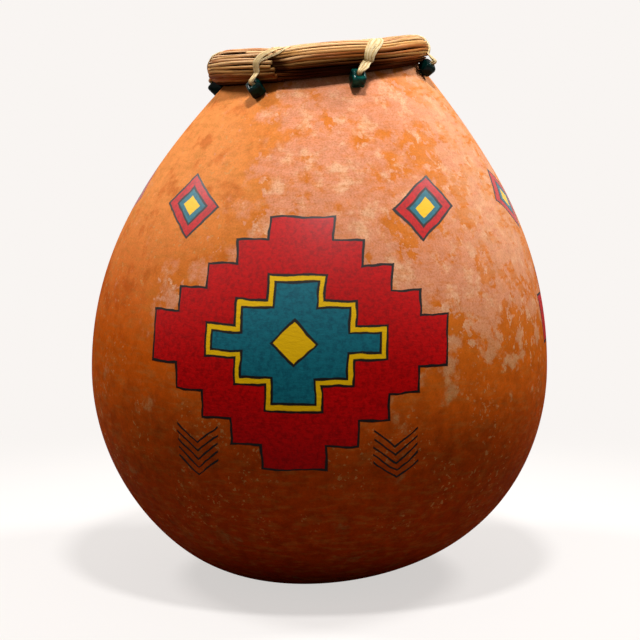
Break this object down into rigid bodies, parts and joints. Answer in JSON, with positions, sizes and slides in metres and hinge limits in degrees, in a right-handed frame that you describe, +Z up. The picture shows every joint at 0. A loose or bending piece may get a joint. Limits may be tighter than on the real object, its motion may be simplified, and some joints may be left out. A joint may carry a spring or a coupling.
{
  "type": "painted gourd vessel",
  "caption": "Hollow painted gourd with an open mouth, a bundle of dried stems lashed round its slanting rim, and a bead that turns on each lashing. Holds dry goods or stands as an ornament.",
  "frame": {"origin": "on the table, under the middle of the belly", "axes": "+Z up, front of the vessel towards -Y, higher side of the slanting rim towards +X"},
  "size_m": [0.24, 0.24, 0.2864],
  "materials": {
    "gourd": "dried gourd skin under satin varnish, with a painted design",
    "stem": "dried plant stems, smooth and slightly glossy",
    "sinew": "flat waxed sinew of fine fibres",
    "bead": "polished dark green"
  },
  "bodies": {
    "vessel": {"gourd_shell": "gourd", "stem_core": "stem", "rim_stem_1": "stem", "rim_stem_2": "stem", "rim_stem_3": "stem", "rim_stem_4": "stem", "rim_stem_5": "stem", "rim_stem_6": "stem", "rim_stem_7": "stem", "rim_stem_8": "stem", "rim_stem_9": "stem", "rim_stem_10": "stem", "rim_stem_11": "stem", "rim_stem_12": "stem", "rim_stem_13": "stem", "rim_stem_14": "stem", "rim_stem_15": "stem", "rim_stem_16": "stem", "rim_stem_17": "stem", "rim_stem_18": "stem", "lashing_1": "sinew", "lashing_2": "sinew", "lashing_3": "sinew", "lashing_4": "sinew", "lashing_5": "sinew", "lashing_6": "sinew", "knot_1": "sinew", "knot_2": "sinew", "knot_3": "sinew", "knot_4": "sinew", "knot_5": "sinew", "knot_6": "sinew"},
    "bead_1": {"bead_1": "bead"},
    "bead_2": {"bead_2": "bead"},
    "bead_3": {"bead_3": "bead"},
    "bead_4": {"bead_4": "bead"},
    "bead_5": {"bead_5": "bead"},
    "bead_6": {"bead_6": "bead"}
  },
  "joints": [
    {"name": "bead_1_turn", "type": "hinge", "parent": "vessel", "child": "bead_1", "pos_m": [-0.05391, 0.01979, 0.25662], "axis": [-0.7033, 0.2357, 0.6707], "continuous": true},
    {"name": "bead_2_turn", "type": "hinge", "parent": "vessel", "child": "bead_2", "pos_m": [-0.03185, -0.04784, 0.25867], "axis": [-0.4587, -0.5906, 0.6639], "continuous": true},
    {"name": "bead_3_turn", "type": "hinge", "parent": "vessel", "child": "bead_3", "pos_m": [0.01914, -0.05447, 0.26394], "axis": [0.1833, -0.7433, 0.6434], "continuous": true},
    {"name": "bead_4_turn", "type": "hinge", "parent": "vessel", "child": "bead_4", "pos_m": [0.05506, -0.01873, 0.26812], "axis": [0.7307, -0.2792, 0.6231], "continuous": true},
    {"name": "bead_5_turn", "type": "hinge", "parent": "vessel", "child": "bead_5", "pos_m": [0.04637, 0.03481, 0.26713], "axis": [0.5891, 0.5074, 0.6289], "continuous": true},
    {"name": "bead_6_turn", "type": "hinge", "parent": "vessel", "child": "bead_6", "pos_m": [-0.00646, 0.05711, 0.26131], "axis": [-0.1547, 0.7396, 0.655], "continuous": true}
  ]
}
